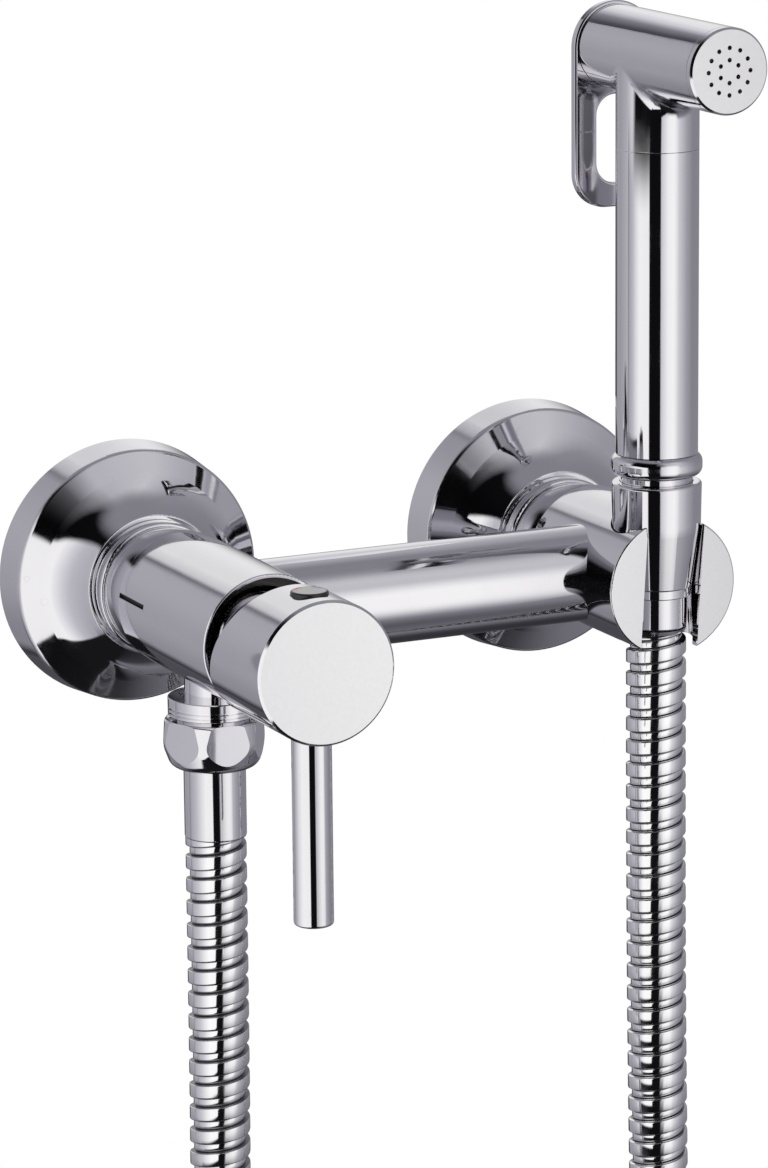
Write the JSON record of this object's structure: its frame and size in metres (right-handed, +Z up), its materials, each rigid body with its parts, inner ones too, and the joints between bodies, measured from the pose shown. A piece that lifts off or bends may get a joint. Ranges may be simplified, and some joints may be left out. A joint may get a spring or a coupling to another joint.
{
  "type": "bidet shower set",
  "caption": "Wall-mounted bidet shower set: single-lever mixer, cross tube, forked holder, and a hand spray with a thumb trigger on a ribbed metal hose hanging in a loop.",
  "frame": {"origin": "on the wall plane, midway between the two wall connections, at the height of both bodies' axes", "axes": "+Y into the wall, -Y out towards the user, +X towards the hand spray, +Z up"},
  "size_m": [0.2062, 0.1595, 0.7323],
  "materials": {
    "chrome": "polished",
    "satin_chrome": "satin",
    "brass": "machined",
    "stainless_steel": "bright",
    "rubber": "matt",
    "plastic": "moulded",
    "ceramic": "lapped"
  },
  "bodies": {
    "mixer": {"wall_flange_left": "chrome", "wall_flange_right": "chrome", "wall_connector_left": "brass", "wall_connector_right": "brass", "flange_rings": "chrome", "connector_o_rings": "rubber", "non_return_valves": "plastic", "body_grub_screws": "stainless_steel", "mixer_body": "chrome", "cross_tube": "chrome", "holder_body": "chrome", "cartridge_housing": "plastic", "cartridge_base": "plastic", "port_seals": "rubber", "fixed_disc": "ceramic", "cartridge_nut": "brass", "cartridge_cover": "chrome", "outlet_nipple": "chrome", "hose_nut": "chrome", "hose_washer_lower": "rubber", "hose_ferrule_lower": "chrome", "hose": "stainless_steel"},
    "turner": {"turning_carrier": "plastic", "spindle_pin": "stainless_steel"},
    "lever": {"spindle": "brass", "handle_cap": "chrome", "lever_pin": "chrome", "handle_grub_screw": "stainless_steel", "indicator_plug": "plastic"},
    "disc": {"moving_disc": "ceramic", "disc_carrier": "plastic"},
    "hose_end": {"hose_ferrule_upper": "chrome"},
    "handset": {"cone_nut": "chrome", "hose_washer_upper": "rubber", "grip_tail": "chrome", "grip_tube": "chrome", "head_body": "chrome", "spray_face": "satin_chrome", "spray_o_ring": "rubber", "valve_seat": "brass", "stem_gland": "brass", "stem_o_ring": "rubber", "valve_spring": "stainless_steel"},
    "trigger": {"trigger_paddle": "chrome"},
    "stem": {"valve_stem": "stainless_steel", "valve_seal": "rubber", "trigger_nut": "chrome"}
  },
  "joints": [
    {"name": "handle_turn", "type": "hinge", "parent": "mixer", "child": "turner", "pos_m": [-0.065, -0.095, 0], "axis": [0, -1, 0], "range_deg": [-50, 50]},
    {"name": "handle_lift", "type": "hinge", "parent": "turner", "child": "lever", "pos_m": [-0.065, -0.095, 0], "axis": [-1, 0, 0], "range_deg": [0, 22]},
    {"name": "disc_slide", "type": "slide", "parent": "turner", "child": "disc", "axis": [0, 0, -1], "range_m": [0, 0.0045]},
    {"name": "handset_lift", "type": "slide", "parent": "mixer", "child": "hose_end", "axis": [0, 0, 1], "range_m": [0, 0.06]},
    {"name": "handset_swivel", "type": "hinge", "parent": "hose_end", "child": "handset", "pos_m": [0.065, -0.086, 0], "axis": [0, 0, 1], "continuous": true},
    {"name": "trigger_squeeze", "type": "hinge", "parent": "handset", "child": "trigger", "pos_m": [0.065, -0.061, 0.1386], "axis": [-1, 0, 0], "range_deg": [0, 12.5]},
    {"name": "stem_slide", "type": "slide", "parent": "handset", "child": "stem", "axis": [0, 1, 0], "range_m": [0, 0.0037], "stiffness_N_per_m": 900, "springref_m": -0.0027, "deforming": ["valve_spring"]}
  ],
  "couplings": [
    {"joint": "disc_slide", "follows": "handle_lift", "m_per_rad": 0.01155},
    {"joint": "trigger_squeeze", "follows": "stem_slide", "rad_per_m": 56.18}
  ]
}
